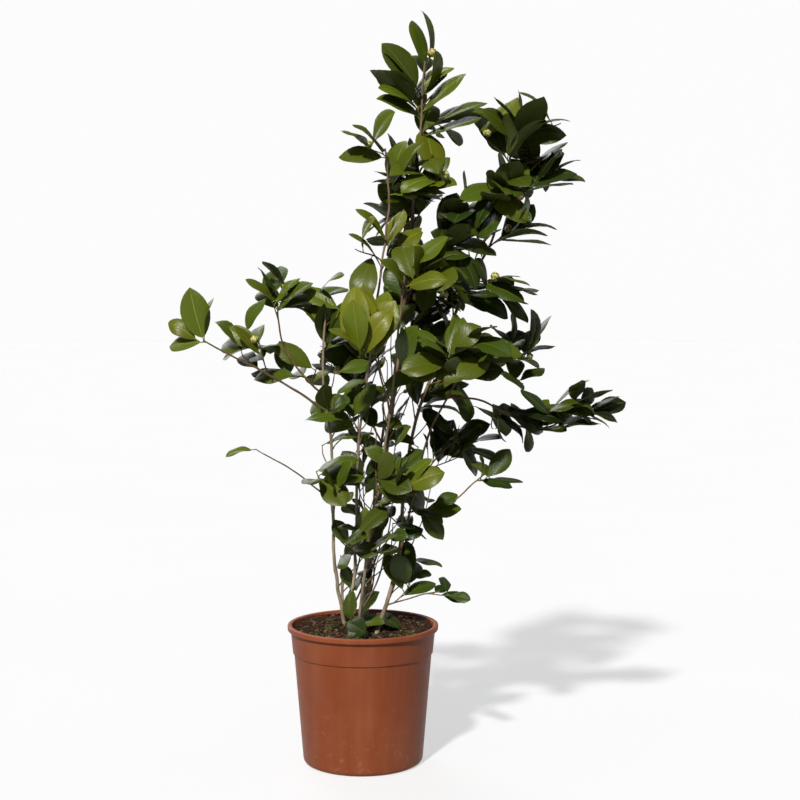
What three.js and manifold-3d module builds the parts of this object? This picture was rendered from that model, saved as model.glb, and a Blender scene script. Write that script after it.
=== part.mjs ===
// Camellia shrub in its terracotta-coloured nursery pot: a multi-stemmed, vase-shaped evergreen in bud.
// Millimetres, +Z up. The origin is the middle of the pot's flat underside, +X runs to the shrub's
// right and -Y is its front. Every stem, bough and leaf mass is one closed solid of its own.
import * as THREE from 'three';
import { mergeVertices } from 'three/addons/utils/BufferGeometryUtils.js';
import Module from 'manifold-3d';

const wasm = await Module();
wasm.setup();

// ---------------------------------------------------------------- driving dimensions

const RIM_RADIUS = 120;
const POT_HEIGHT = 220;
const BASE_RADIUS = 95; // where the straight wall, drawn on down, would meet the ground
const FOOT_ROUNDING = 8;
const WALL = 2;
const LIP_HEIGHT = 8;
const BAND_TOP_RADIUS = 115;
const BAND_BOTTOM_RADIUS = 111.5;
const BAND_DEPTH = 45; // from the rim down to the lower edge of the band
const BAND_STEP = 2;
const POT_SIDES = 36;
const FOOT_ARC_STEPS = 3;
const DRAIN_HOLES = 6;
const DRAIN_RADIUS = 6;
const DRAIN_SIDES = 8;
const DRAIN_RING_RADIUS = 62;

const SOIL_TOP = 206;
const GAP = 0.3; // clearance between pieces that touch

const STUMP_RADIUS = 16;
const STUMP_FLARE = 1;
const STUMP_SQUASH = 0.8; // front-to-back size as a share of the width
const STUMP_HEIGHT = 7;
const STUMP_SIDES = 12;
const STUMP_PLACE = [-7, -28];

const LIMB_SIDES = 6;
const LIMB_STEP = 64; // length of one section of a stem or bough
const CUT_CLEARANCE = 0.4; // added round a limb before it is cut out of its neighbour
const MASS_CLEARANCE = 0.7; // added round a leaf mass before it is cut out of the next
const MASS_LOBES = 7;
const LOBE_SWELL = 0.3; // how far an average lobe swells, as a share of the mass's radius
const LOBE_SPREAD = 0.5; // how much the swell varies from lobe to lobe, as a share of itself
const LOBE_SHARPNESS = 3;

const BAND_BOTTOM = POT_HEIGHT - BAND_DEPTH;
const LIP_BOTTOM = POT_HEIGHT - LIP_HEIGHT;
const WALL_TOP_RADIUS = BAND_BOTTOM_RADIUS - BAND_STEP;
const FOOT_TOP_RADIUS = BASE_RADIUS + ((WALL_TOP_RADIUS - BASE_RADIUS) * FOOT_ROUNDING) / BAND_BOTTOM;

// Stems rise from the soil: [x, y] of the foot, then the knees and the tip as [x, y, z].
const STEMS = {
  stem_left: {
    foot: [-30, 36], knees: [[-46, 0, 330], [-46, -26, 490], [-60, -22, 600]], tip: [-58, -4, 738],
    footRadius: 3, tipRadius: 1.5,
  },
  stem_inner: {
    foot: [-20, 20], knees: [[-12, -14, 330], [-4, -30, 520], [20, -38, 700], [42, -36, 900]],
    tip: [36, -30, 968], footRadius: 2.6, tipRadius: 1.4,
  },
  stem_leader: {
    foot: [2, 50], knees: [[10, 26, 300], [35, 12, 482], [62, 10, 690], [81, 10, 892]],
    tip: [98, 12, 1108], footRadius: 4.4, tipRadius: 1.5,
  },
  stem_middle: {
    foot: [-8, 0], knees: [[6, -34, 330], [32, -62, 480], [46, -82, 580]], tip: [66, -108, 770],
    footRadius: 2.5, tipRadius: 1.4,
  },
  stem_right: {
    foot: [22, -8], knees: [[54, -2, 310], [66, 4, 420], [78, 10, 520], [155, 20, 734], [212, 20, 850]],
    tip: [240, 12, 1010], footRadius: 3.3, tipRadius: 1.5,
  },
  stem_back: {
    foot: [-8, 72], knees: [[8, 88, 330], [24, 96, 470], [54, 104, 610], [88, 110, 750]],
    tip: [78, 96, 872], footRadius: 2.6, tipRadius: 1.5,
  },
  stem_cut_back: {
    foot: [-34, 60], knees: [[-36, 58, 260]], tip: [-32, 52, 322], footRadius: 2.6, tipRadius: 2.2,
  },
};

// Boughs leave a stem or another bough at a height, and end inside the leaves they carry.
const BOUGHS = {
  bough_fork: {
    from: 'stem_right', height: 330, knees: [[80, -16, 425], [104, -34, 526], [140, -64, 600]],
    tip: [172, -102, 655], footRadius: 2.2, tipRadius: 1.3,
  },
  bough_left_arm: {
    from: 'stem_left', height: 556, knees: [[-122, -34, 606], [-186, -38, 640]], tip: [-246, -44, 672],
    footRadius: 2, tipRadius: 1.2,
  },
  bough_left_crest: {
    from: 'stem_left', height: 584, knees: [[-104, -6, 630], [-130, 2, 680]], tip: [-134, 8, 730],
    footRadius: 1.7, tipRadius: 1.2,
  },
  bough_left_twig: {
    from: 'stem_left', height: 412, knees: [[-92, -58, 462], [-126, -74, 484]], tip: [-150, -86, 500],
    footRadius: 1.4, tipRadius: 1,
  },
  bough_front: {
    from: 'stem_middle', height: 560, knees: [[36, -112, 600]], tip: [22, -150, 650],
    footRadius: 1.6, tipRadius: 1.2,
  },
  bough_shoulder: {
    from: 'stem_leader', height: 730, knees: [[96, 24, 780]], tip: [136, 34, 840],
    footRadius: 1.6, tipRadius: 1.2,
  },
  bough_waist: {
    from: 'stem_right', height: 430, knees: [[100, 14, 462]], tip: [140, 22, 512],
    footRadius: 1.5, tipRadius: 1.1,
  },
  bough_hip: {
    from: 'bough_fork', height: 400, knees: [[112, -22, 408], [150, -24, 424]], tip: [192, -22, 462],
    footRadius: 1.5, tipRadius: 1.1,
  },
  bough_right_flank: {
    from: 'stem_right', height: 600, knees: [[160, 34, 620]], tip: [232, 48, 650],
    footRadius: 1.7, tipRadius: 1.2,
  },
  bough_right_arm: {
    from: 'bough_fork', height: 585, knees: [[200, -40, 574], [270, -14, 532]], tip: [334, -8, 556],
    footRadius: 1.7, tipRadius: 1.2,
  },
  bough_low_sprig: {
    from: 'stem_right', height: 250, knees: [[76, -8, 264]], tip: [122, -12, 274],
    footRadius: 1.3, tipRadius: 1,
  },
  bough_back_left: {
    from: 'stem_back', height: 500, knees: [[4, 104, 550]], tip: [-20, 112, 620],
    footRadius: 1.6, tipRadius: 1.2,
  },
};

// Leaf masses by tier: centre [x, y, z], then size [width, depth, height].
const MASSES = {
  leaves_top_tip: [[103, 20, 1143], [92, 82, 84]],
  leaves_top_whorl: [[90, 2, 1078], [142, 108, 82]],
  leaves_leader_right: [[135, 28, 1018], [110, 92, 78]],
  leaves_leader_left: [[16, -30, 982], [108, 90, 86]],
  leaves_leader_heart: [[78, -6, 934], [122, 112, 104]],
  leaves_leader_cuff: [[32, -52, 828], [118, 94, 152]],

  leaves_crest: [[238, 16, 1012], [176, 112, 108]],
  leaves_crest_right: [[292, 46, 944], [98, 92, 104]],
  leaves_crest_front: [[220, -24, 906], [88, 92, 92]],
  leaves_neck: [[246, 4, 851], [110, 88, 62]],
  leaves_core_right: [[158, 12, 832], [108, 116, 172]],
  leaves_right_wing: [[214, -4, 750], [164, 96, 66]],
  leaves_right_flank: [[252, 44, 658], [122, 98, 140]],

  leaves_bud_spray: [[104, -104, 780], [112, 88, 78]],
  leaves_front_fan: [[16, -158, 684], [94, 84, 146]],
  leaves_front_swag: [[134, -126, 656], [178, 92, 96]],

  leaves_left_tip: [[-260, -42, 690], [84, 78, 84]],
  leaves_left_mid: [[-188, -24, 670], [92, 84, 78]],
  leaves_left_crest: [[-138, 10, 750], [92, 84, 90]],
  leaves_left_crown: [[-46, 8, 724], [92, 104, 140]],
  leaves_left_under: [[-118, 26, 630], [124, 84, 72]],
  leaves_left_inner: [[-38, -20, 568], [94, 96, 112]],
  leaves_left_skirt: [[-52, -62, 462], [106, 88, 104]],
  leaves_left_twig: [[-172, -92, 506], [78, 40, 28]],

  leaves_waist_mid: [[56, -82, 474], [112, 84, 84]],
  leaves_waist_right: [[146, 20, 514], [98, 86, 78]],
  leaves_waist_back: [[130, 36, 584], [120, 88, 84]],
  leaves_hip: [[116, -30, 404], [76, 72, 76]],
  leaves_hip_right: [[203, -20, 470], [108, 84, 68]],
  leaves_foot_left: [[0, -32, 374], [100, 84, 78]],
  leaves_foot_right: [[80, 0, 306], [86, 80, 98]],
  leaves_low_sprig: [[138, -12, 276], [66, 58, 42]],

  leaves_right_arm: [[258, 0, 546], [150, 88, 82]],
  leaves_right_tip: [[346, -8, 567], [124, 84, 70]],

  leaves_back_high: [[66, 86, 880], [116, 104, 140]],
  leaves_back_mid: [[112, 122, 764], [148, 112, 126]],
  leaves_back_low: [[118, 122, 658], [138, 108, 100]],
  leaves_back_left: [[-22, 112, 642], [106, 96, 108]],
};

// ---------------------------------------------------------------- materials

const plastic = (color) => new THREE.MeshStandardMaterial({ color, roughness: 0.5, metalness: 0 });
const bark = (color) => new THREE.MeshStandardMaterial({ color, roughness: 0.8, metalness: 0 });
const leaf = (color) => new THREE.MeshStandardMaterial({ color, roughness: 0.4, metalness: 0 });
const soil = (color) => new THREE.MeshStandardMaterial({ color, roughness: 0.95, metalness: 0 });

const TERRACOTTA = 0x9a5136;
const COMPOST = 0x3c2d23;
const STUMP_GREY = 0x7f8570;
const STEM_BARK = 0x8c826e;
const BOUGH_BARK = 0x6f6448;
const LEAF_GREENS = [0x2f4a17, 0x3d5a1a, 0x4f6b1f, 0x5f7a25];

// ---------------------------------------------------------------- solids

// Numbers from 0 to 1 that repeat for the same seed.
function seeded(seed) {
  let state = seed * 2654435761;
  return () => {
    state = (state + 0x6d2b79f5) | 0;
    let mixed = Math.imul(state ^ (state >>> 15), 1 | state);
    mixed = (mixed + Math.imul(mixed ^ (mixed >>> 7), 61 | mixed)) ^ mixed;
    return ((mixed ^ (mixed >>> 14)) >>> 0) / 4294967296;
  };
}

function toSolid(geometry) {
  const bare = geometry.clone();
  bare.deleteAttribute('normal');
  bare.deleteAttribute('uv');
  const merged = mergeVertices(bare, 1e-4);
  return new wasm.Manifold(new wasm.Mesh({
    numProp: 3,
    vertProperties: new Float32Array(merged.attributes.position.array),
    triVerts: new Uint32Array(merged.index.array),
  }));
}

function toGeometry(solid) {
  const mesh = solid.getMesh();
  const geometry = new THREE.BufferGeometry();
  geometry.setAttribute('position', new THREE.BufferAttribute(mesh.vertProperties, 3));
  geometry.setIndex(new THREE.BufferAttribute(mesh.triVerts, 1));
  geometry.computeVertexNormals();
  return geometry;
}

// The largest piece of a solid, where a cut has left crumbs beside it.
function largestPiece(solid) {
  const pieces = solid.decompose();
  return pieces.reduce((largest, piece) => (piece.volume() > largest.volume() ? piece : largest));
}

// A closed solid turned round +Z from a profile of [radius, height] points.
function turned(profile) {
  const points = profile.map(([radius, height]) => new THREE.Vector2(radius, height));
  return new THREE.LatheGeometry(points, POT_SIDES).rotateX(Math.PI / 2);
}

// The pot's wall runs up from its rounded foot to the band, steps out, and ends in a square lip.
function potShell() {
  const footArc = [];
  for (let step = 0; step <= FOOT_ARC_STEPS; step += 1) {
    const angle = ((step / FOOT_ARC_STEPS) * Math.PI) / 2;
    footArc.push([
      FOOT_TOP_RADIUS - FOOT_ROUNDING * (1 - Math.sin(angle)),
      FOOT_ROUNDING * (1 - Math.cos(angle)),
    ]);
  }
  return turned([
    [0, 0],
    ...footArc,
    [WALL_TOP_RADIUS, BAND_BOTTOM],
    [BAND_BOTTOM_RADIUS, BAND_BOTTOM],
    [BAND_TOP_RADIUS, LIP_BOTTOM],
    [RIM_RADIUS, LIP_BOTTOM],
    [RIM_RADIUS, POT_HEIGHT],
    [BAND_TOP_RADIUS - WALL, POT_HEIGHT],
    [WALL_TOP_RADIUS - WALL, BAND_BOTTOM],
    [FOOT_TOP_RADIUS - WALL, FOOT_ROUNDING],
    [FOOT_TOP_RADIUS - FOOT_ROUNDING, WALL],
    [0, WALL],
  ]);
}

function drainHole(index) {
  const angle = (index / DRAIN_HOLES) * 2 * Math.PI;
  const hole = new THREE.CylinderGeometry(DRAIN_RADIUS, DRAIN_RADIUS, 4 * WALL, DRAIN_SIDES);
  hole.rotateX(Math.PI / 2);
  return hole.translate(DRAIN_RING_RADIUS * Math.cos(angle), DRAIN_RING_RADIUS * Math.sin(angle), 0);
}

function pot() {
  let shell = toSolid(potShell());
  for (let index = 0; index < DRAIN_HOLES; index += 1) {
    shell = shell.subtract(toSolid(drainHole(index)));
  }
  return toGeometry(shell);
}

// The compost fills the pot's inside and ends flat below the rim.
function rootBall() {
  const inset = WALL + GAP;
  const bandSlope = (BAND_TOP_RADIUS - WALL_TOP_RADIUS) / BAND_DEPTH;
  return turned([
    [0, inset],
    [FOOT_TOP_RADIUS - FOOT_ROUNDING - GAP, inset],
    [FOOT_TOP_RADIUS - inset, FOOT_ROUNDING + GAP],
    [WALL_TOP_RADIUS - inset, BAND_BOTTOM],
    [WALL_TOP_RADIUS - inset + bandSlope * (SOIL_TOP - BAND_BOTTOM), SOIL_TOP],
    [0, SOIL_TOP],
  ]);
}

// The low stub of an old stem, cut flat, with its foot on the compost.
function stump() {
  const [x, y] = STUMP_PLACE;
  const footRadius = STUMP_RADIUS + STUMP_FLARE;
  const disc = new THREE.CylinderGeometry(STUMP_RADIUS, footRadius, STUMP_HEIGHT, STUMP_SIDES);
  disc.rotateX(Math.PI / 2).scale(1, STUMP_SQUASH, 1);
  return disc.translate(x, y, SOIL_TOP + GAP + STUMP_HEIGHT / 2);
}

// A limb's centre line, from its foot through its knees to its tip.
function limbCurve(foot, knees, tip) {
  const points = [foot, ...knees, tip].map((point) => new THREE.Vector3(...point));
  return new THREE.CatmullRomCurve3(points, false, 'centripetal');
}

// A tapering round limb: a cylinder bent along the curve, with its first ring held level on request.
function taperedLimb({ curve, footRadius, tipRadius, levelFoot }, clearance = 0) {
  const steps = Math.max(2, Math.round(curve.getLength() / LIMB_STEP));
  const limb = new THREE.CylinderGeometry(tipRadius, footRadius, 1, LIMB_SIDES, steps);
  const position = limb.attributes.position;
  const level = new THREE.Vector3(0, 0, 1);
  const side = new THREE.Vector3();
  const across = new THREE.Vector3();
  for (let index = 0; index < position.count; index += 1) {
    const along = position.getY(index) + 0.5;
    const centre = curve.getPointAt(along);
    const tangent = along < 1e-6 && levelFoot ? level : curve.getTangentAt(along);
    side.set(0, 1, 0).cross(tangent).normalize();
    across.crossVectors(tangent, side);
    const reach = Math.hypot(position.getX(index), position.getZ(index));
    const grown = reach > 1e-6 ? (reach + clearance) / reach : 0;
    centre.addScaledVector(side, position.getX(index) * grown);
    centre.addScaledVector(across, -position.getZ(index) * grown);
    position.setXYZ(index, ...centre.toArray());
  }
  return limb;
}

// The point of a limb's centre line at a height.
function pointAtHeight(curve, height) {
  let low = 0;
  let high = 1;
  for (let halving = 0; halving < 24; halving += 1) {
    const middle = (low + high) / 2;
    if (curve.getPointAt(middle).z < height) {
      low = middle;
    } else {
      high = middle;
    }
  }
  return curve.getPointAt(low);
}

// A lobed, uneven closed mass that just fills a box of the given size about its centre.
function leafMass(centre, size, seed, clearance = 0) {
  const random = seeded(seed);
  const lobes = Array.from({ length: MASS_LOBES }, () => {
    const height = 2 * random() - 1;
    const angle = 2 * Math.PI * random();
    const ring = Math.sqrt(1 - height * height);
    return {
      towards: new THREE.Vector3(ring * Math.cos(angle), ring * Math.sin(angle), height),
      swell: LOBE_SWELL * (1 + LOBE_SPREAD * (2 * random() - 1)),
    };
  });
  const ball = new THREE.IcosahedronGeometry(1, 1);
  ball.deleteAttribute('normal');
  ball.deleteAttribute('uv');
  const mass = mergeVertices(ball);
  const position = mass.attributes.position;
  const point = new THREE.Vector3();
  for (let index = 0; index < position.count; index += 1) {
    point.fromBufferAttribute(position, index);
    let radius = 1;
    for (const { towards, swell } of lobes) {
      radius += swell * Math.max(0, point.dot(towards)) ** LOBE_SHARPNESS;
    }
    position.setXYZ(index, ...point.multiplyScalar(radius).toArray());
  }
  mass.computeBoundingBox();
  const middle = mass.boundingBox.getCenter(new THREE.Vector3());
  const extent = mass.boundingBox.getSize(new THREE.Vector3());
  mass.translate(-middle.x, -middle.y, -middle.z);
  const [width, depth, height] = size.map((side) => side + 2 * clearance);
  mass.scale(width / extent.x, depth / extent.y, height / extent.z);
  return mass.translate(...centre);
}

// ---------------------------------------------------------------- assembly

const shrub = new THREE.Group();

function addPiece(name, geometry, material) {
  const piece = new THREE.Mesh(geometry, material);
  piece.name = name;
  shrub.add(piece);
}

addPiece('pot', pot(), plastic(TERRACOTTA));
addPiece('root_ball', rootBall(), soil(COMPOST));
addPiece('stump', stump(), bark(STUMP_GREY));

const limbs = {};

for (const [name, { foot, knees, tip, footRadius, tipRadius }] of Object.entries(STEMS)) {
  const curve = limbCurve([...foot, SOIL_TOP + GAP], knees, tip);
  limbs[name] = { curve, footRadius, tipRadius, levelFoot: true };
  addPiece(name, taperedLimb(limbs[name]), bark(STEM_BARK));
}

for (const [name, { from, height, knees, tip, footRadius, tipRadius }] of Object.entries(BOUGHS)) {
  const curve = limbCurve(pointAtHeight(limbs[from].curve, height).toArray(), knees, tip);
  limbs[name] = { curve, footRadius, tipRadius, levelFoot: false };
  const parent = toSolid(taperedLimb(limbs[from], CUT_CLEARANCE));
  const bough = largestPiece(toSolid(taperedLimb(limbs[name])).subtract(parent));
  addPiece(name, toGeometry(bough), bark(BOUGH_BARK));
}

// The room that the limbs, and then each mass in turn, take from the masses that follow.
let takenRoom = Object.values(limbs)
  .map((limb) => toSolid(taperedLimb(limb, CUT_CLEARANCE)))
  .reduce((all, one) => all.add(one));

Object.entries(MASSES).forEach(([name, [centre, size]], index) => {
  const mass = largestPiece(toSolid(leafMass(centre, size, index + 1)).subtract(takenRoom));
  addPiece(name, toGeometry(mass), leaf(LEAF_GREENS[index % LEAF_GREENS.length]));
  takenRoom = takenRoom.add(toSolid(leafMass(centre, size, index + 1, MASS_CLEARANCE)));
});

export default shrub;
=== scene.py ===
import math
import random

import bpy
import bmesh
import numpy as np
from mathutils import Matrix, Vector, noise
from mathutils.bvhtree import BVHTree


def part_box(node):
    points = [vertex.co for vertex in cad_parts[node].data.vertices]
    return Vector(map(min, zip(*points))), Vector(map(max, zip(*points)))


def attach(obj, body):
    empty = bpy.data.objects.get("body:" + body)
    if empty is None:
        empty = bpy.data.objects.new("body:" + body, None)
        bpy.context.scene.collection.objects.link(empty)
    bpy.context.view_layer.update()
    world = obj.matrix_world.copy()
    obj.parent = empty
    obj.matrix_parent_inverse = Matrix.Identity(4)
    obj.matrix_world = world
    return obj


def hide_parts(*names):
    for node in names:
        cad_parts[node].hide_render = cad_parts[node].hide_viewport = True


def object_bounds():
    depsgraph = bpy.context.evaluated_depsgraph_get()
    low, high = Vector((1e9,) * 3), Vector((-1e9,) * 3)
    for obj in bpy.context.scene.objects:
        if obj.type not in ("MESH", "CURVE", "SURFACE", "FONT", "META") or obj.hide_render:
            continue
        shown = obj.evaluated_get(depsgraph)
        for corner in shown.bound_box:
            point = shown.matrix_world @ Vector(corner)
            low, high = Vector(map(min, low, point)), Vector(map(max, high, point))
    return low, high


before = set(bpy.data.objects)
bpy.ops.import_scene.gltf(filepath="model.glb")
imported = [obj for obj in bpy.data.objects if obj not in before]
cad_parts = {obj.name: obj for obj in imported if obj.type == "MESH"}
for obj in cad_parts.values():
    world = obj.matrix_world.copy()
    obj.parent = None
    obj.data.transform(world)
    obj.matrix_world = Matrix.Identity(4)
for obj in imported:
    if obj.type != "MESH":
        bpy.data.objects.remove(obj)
CAD_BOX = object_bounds()

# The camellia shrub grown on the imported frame. Limbs get bark along the frame's own stems and
# boughs, and each leaf mass is filled by shoots that a seeded rule grows from the nearest limb.
# Metres throughout.

MM = 0.001
UP = Vector((0, 0, 1))
FULL_TURN = 2 * math.pi

# ---------------------------------------------------------------- driving values

LIMB_SPACING = 3 * MM  # between the samples of a limb's centre line
RING_REACH = 14 * MM  # a ring of a limb's solid is smaller than this, and two rings lie further apart
CROOK = 2.6 * MM  # how far a limb strays from its smooth curve
CROOK_SCALE = 26  # bends of about 1/26 m
TWIG_CROOK = 6 * MM  # the same for the side twigs
TWIG_CROOK_SCALE = 14
BARK_SIDES = 12
NODE_SPACING = (26 * MM, 44 * MM)  # between the old leaf nodes of a stem
BARK_PALE_TOP, BARK_BROWN_FROM = 380 * MM, 720 * MM  # bark turns browner between these heights
YOUNG_WOOD = (0.42, 0.33, 0.27, 1)  # times the bark's colour where the wood is young
DUST_TOP, DUST_FULL = 130 * MM, 10 * MM  # dust lies on the pot from here down

SUN_SIDE = math.radians(18)  # how far left of the camera the light comes from
SUN_HEIGHT = math.radians(43)
SUN_LEVEL = Vector((-math.sin(SUN_SIDE), -math.cos(SUN_SIDE), 0))
SUN_FROM = SUN_LEVEL * math.cos(SUN_HEIGHT) + UP * math.sin(SUN_HEIGHT)
SUN_ENERGY = 3.5
SKY_STRENGTH = 0.22
FILL_FROM = Vector((-0.35, 0.85, 0.45))  # from behind on the left
FILL_ENERGY = 0.9
STUDIO_WHITE = 0.96
FLOOR_GLOW = 0.54  # the floor glows a little, which keeps the shadow on it pale

CROWN_AXIS = Vector((80 * MM, 0, 0))
CROWN_MIDDLE = Vector((70 * MM, 10 * MM, 720 * MM))
PAINTED_SUN_SIDE = Vector((-1.6, -5, 2.4))  # painted light: leaf shades lighter for each metre towards the lit left, front and top
PAINTED_SHADE_RIGHT = 8  # painted shade: leaf shades darker for each further metre right of the middle
MIDDLE_SHADE = 2.1  # the usual shade in the middle of the crown, counted from the lightest
SHADE_STRAY = 0.5
SHADED_REACH = 200 * MM  # so far right of the axis, blades lie flat rather than turn to the sun

VOLUME_PER_LEAF = 20e-6  # m3 of a dense leaf mass
OPENNESS = {"dense": 1.0, "loose": 1.6, "open": 2.6, "sparse": 5.0}  # times the volume for each leaf
LOOSE = "crest_right left_mid right_wing leader_heart front_swag foot_left back_low bud_spray"
LOOSE += " core_right left_crest right_arm"
OPEN = "left_crown left_inner left_tip waist_back waist_mid top_whorl leader_right hip_right neck"
OPEN += " right_flank left_under left_skirt back_high front_fan foot_right left_twig"
OPEN += " hip crest"
SPARSE = "leader_cuff leader_left top_tip"
GRAND = {  # masses of extra large leaves, and their usual length
    "front_fan": 98 * MM,
    "top_tip": 84 * MM,
    "top_whorl": 84 * MM,
    "right_tip": 66 * MM,
    "right_arm": 64 * MM,
}
SUNNIEST_MASS = "front_fan"  # painted light: the one mass whose leaves all take the lightest yellow-green shades
LEAVES_PER_SHOOT = 4
SHOOT_REACH = 40 * MM  # the usual distance from a limb to the tip of a shoot
SHOOT_SPACING = 14 * MM  # where shoots leave a limb closer than this, the later one pays
CROWDED_COST, BACKWARD_COST = 18 * MM, 45 * MM
SHOOT_STEP = 4 * MM
SHOOT_HANDLE = 0.35  # the share of its span that a shoot's curve keeps its end directions
TIP_CHOICES = 9  # places tried for each shoot's tip; the one farthest from the other tips is taken
TIP_DEPTH = 7 * MM  # tips end at least this deep in the mass
TRIES_PER_LEAF, TRIES_PER_GOAL = 7, 14
WORST_SCORE = -12 * MM  # below this a blade isn't kept, except as one of the first few
SURE_LEAVES = 3
FARTHEST_LEAF = 70 * MM  # from the tip
LEAF_STRETCH = (0.6, 1.7)  # how far a leaf's length may differ from the one drawn for it
USUAL_LEAN, MOST_LEAN = math.radians(55), math.radians(105)  # of a leaf from its shoot
LARGE_LEAF = 80 * MM  # the usual length in a large mass high on the plant
SMALL_LEAF = 44 * MM
LOW_SHARE = 0.76  # leaves low on the plant are this much of that
LOW_LEVEL, HIGH_LEVEL = 420 * MM, 900 * MM
LEAF_RUN = 25 * MM  # how far back from a shoot's tip its leaves come on average
LEAF_SPREAD = (0.7, 1.25, 1.0)  # shortest, longest and usual, as shares of the mass's usual length
LEAF_SHARE = (0.47, 0.64)  # width as a share of the length
LEAF_STATIONS = 12
LEAF_COLUMNS = (-1, -0.68, -0.34, -0.03, 0.03, 0.34, 0.68, 1)
LEAF_THICKNESS = 0.5 * MM
BLADE_FOOT, BLADE_TIP = 0, 1  # the first two points of a blade
STALK_RADIUS = (1.0 * MM, 0.25 * MM)  # at the shoot and near the leaf's tip
STALK_SIDES = 5
LEAF_ROUGHNESS = (0.3, 0.44)
LEAF_GLOSS = 0.26
LEAF_BELLY = (0.9, 1.4)  # above 1, the widest place lies nearer the tip
LEAF_FOLD = (6, 28)  # degrees that each half of a blade rises
LEAF_CURL = (4, 95, 35)  # least, most and usual degrees that a blade droops
LEAF_TURN = 18  # most degrees of twist, and of bowing sideways
LEAF_RIPPLE = (0.4, 1.8)  # mm at a blade's edge
VEIN_PAIRS, VEIN_SWEEP = 8, 0.55
PETIOLE = 7 * MM
TWIG_SPACING = (20 * MM, 46 * MM)  # between the side twigs low on a stem
TWIG_LENGTH = (30 * MM, 110 * MM)
WHIP_LENGTH = (150 * MM, 260 * MM)
TWIG_LEAN, WHIP_LEAN = (18, 45), (4, 9)  # degrees from the stem
TWIG_TRIES = 8
TWIG_TOP = 600 * MM  # side twigs start below this height
PLAIN_STEMS = ("stem_left",)  # stems without the first, long side twig
SPRIG_LEAF = (36 * MM, 64 * MM)
SPRIG_MIDDLE = Vector((50 * MM, 10 * MM, 0))
SPRIG_ROOM = 84 * MM  # how far from the middle a side twig's leaves reach
TWIG_ROOM = 68 * MM  # how far from there its tip lies
LEAFY_FEET = ("stem_inner", "stem_leader", "stem_middle")  # stems with a small twig just above the compost
SOIL_CLEARANCE = 6 * MM  # between these leaves and the compost
MOST_SPOTS = 12000
LEAF_CLEARANCE = 8.5 * MM  # between the middles of two blades
GOAL_CLEARANCE = 13 * MM  # from a blade to the next empty place to fill
GOAL_AT = 0.55  # where on a blade the place that it fills lies
OVERHANG = 3 * MM  # how far a blade may leave its mass freely
BOX_MARGIN = 7 * MM  # how far a leaf may leave the CAD model's box
UPRIGHT_COST = 9 * MM  # below the top, blades lie flat or hang rather than stand
GOLDEN_ANGLE = math.radians(137.5)
BUD_SHARE = 0.36  # of the shoots
BUD_LEVEL = 580 * MM  # buds sit above this height
BUD_RADIUS = (5.4 * MM, 7.6 * MM)
BUD_SCALES = 8
BUD_EDGE_SLOT = 2
BUD_SEED, CHIP_SEED, MOSS_SEED = 5, 3, 4
GREEN_BUDS = 0.6  # this share is green, the rest golden
SEED = 24

CAMERA_PLACE = Vector((59 * MM, -2.365, 715 * MM))
CAMERA_PITCH = math.radians(3.34)
CAMERA_LENS = 67.45  # mm on a 36 mm sensor


def nodes_named(prefix):
    return sorted(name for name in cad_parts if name.startswith(prefix))


STEMS = nodes_named("stem_")
BOUGHS = nodes_named("bough_")
MASSES = nodes_named("leaves_")
RIM_RADIUS, _, RIM_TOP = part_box("pot")[1]
SOIL_RADIUS, _, SOIL_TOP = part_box("root_ball")[1]

# ---------------------------------------------------------------- meshes


SHARP_ANGLE = math.radians(60)  # edges that bend more than this stay sharp


class Pieces:
    """Many small shapes gathered into one mesh: faces with a material slot, corners with a UV."""

    def __init__(self):
        self.points, self.faces, self.slots, self.uvs = [], [], [], []

    def add(self, points, faces, slots, uvs=None):
        start = len(self.points)
        self.points.extend(map(tuple, points))
        self.faces.extend(tuple(start + corner for corner in face) for face in faces)
        self.slots.extend([slots] * len(faces) if isinstance(slots, int) else slots)
        self.uvs.extend([(0.5, 0.5)] * len(points) if uvs is None else map(tuple, uvs))

    def build(self, name, materials, sharp_angle=SHARP_ANGLE):
        mesh = bpy.data.meshes.new(name)
        mesh.from_pydata(self.points, [], self.faces)
        for material in materials:
            mesh.materials.append(material)
        mesh.polygons.foreach_set("material_index", self.slots)
        layer = mesh.uv_layers.new(name="Blade")
        corners = np.empty(len(mesh.loops), np.int32)
        mesh.loops.foreach_get("vertex_index", corners)
        layer.data.foreach_set("uv", np.array(self.uvs, np.float32)[corners].ravel())
        mesh.shade_smooth()
        mesh.set_sharp_from_angle(angle=sharp_angle)
        mesh.update()
        return linked(name, mesh)


def linked(name, data):
    """A new object in the scene, with its mesh, light or camera."""
    made = bpy.data.objects.new(name, data)
    bpy.context.scene.collection.objects.link(made)
    return made


def single(name, points, faces, material, sharp_angle=SHARP_ANGLE):
    """A mesh of one shape in one material."""
    pieces = Pieces()
    pieces.add(points, faces, 0)
    return pieces.build(name, [material], sharp_angle)


def finish_piece(piece, slot, *replaced):
    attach(piece, "root")
    if replaced:
        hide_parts(*replaced)
    return piece


def across(direction):
    """Two unit vectors square to a direction and to each other."""
    spare = Vector((0, 1, 0)) if abs(direction.y) < 0.9 else Vector((1, 0, 0))
    side = spare.cross(direction).normalized()
    return side, direction.cross(side).normalized()


def bands(rings, sides, start=0, closed=True, flipped=False):
    """The four-cornered faces between rings of corners, or rows of corners where they aren't closed."""
    faces = []
    for low in range(start, start + (rings - 1) * sides, sides):
        high = low + sides
        for side in range(sides if closed else sides - 1):
            ahead = (side + 1) % sides
            face = (low + side, low + ahead, high + ahead, high + side)
            faces.append((face[0], *face[:0:-1]) if flipped else face)
    return faces


def swung(first, second, angle):
    """The direction at an angle from the first of two vectors towards the second."""
    return first * math.cos(angle) + second * math.sin(angle)


def around(sides):
    """The angles of a ring's corners."""
    return [2 * math.pi * side / sides for side in range(sides)]


def ring(radius, height, sides):
    """The corners of a level ring about the z axis."""
    return [(radius * math.cos(angle), radius * math.sin(angle), height) for angle in around(sides)]


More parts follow.
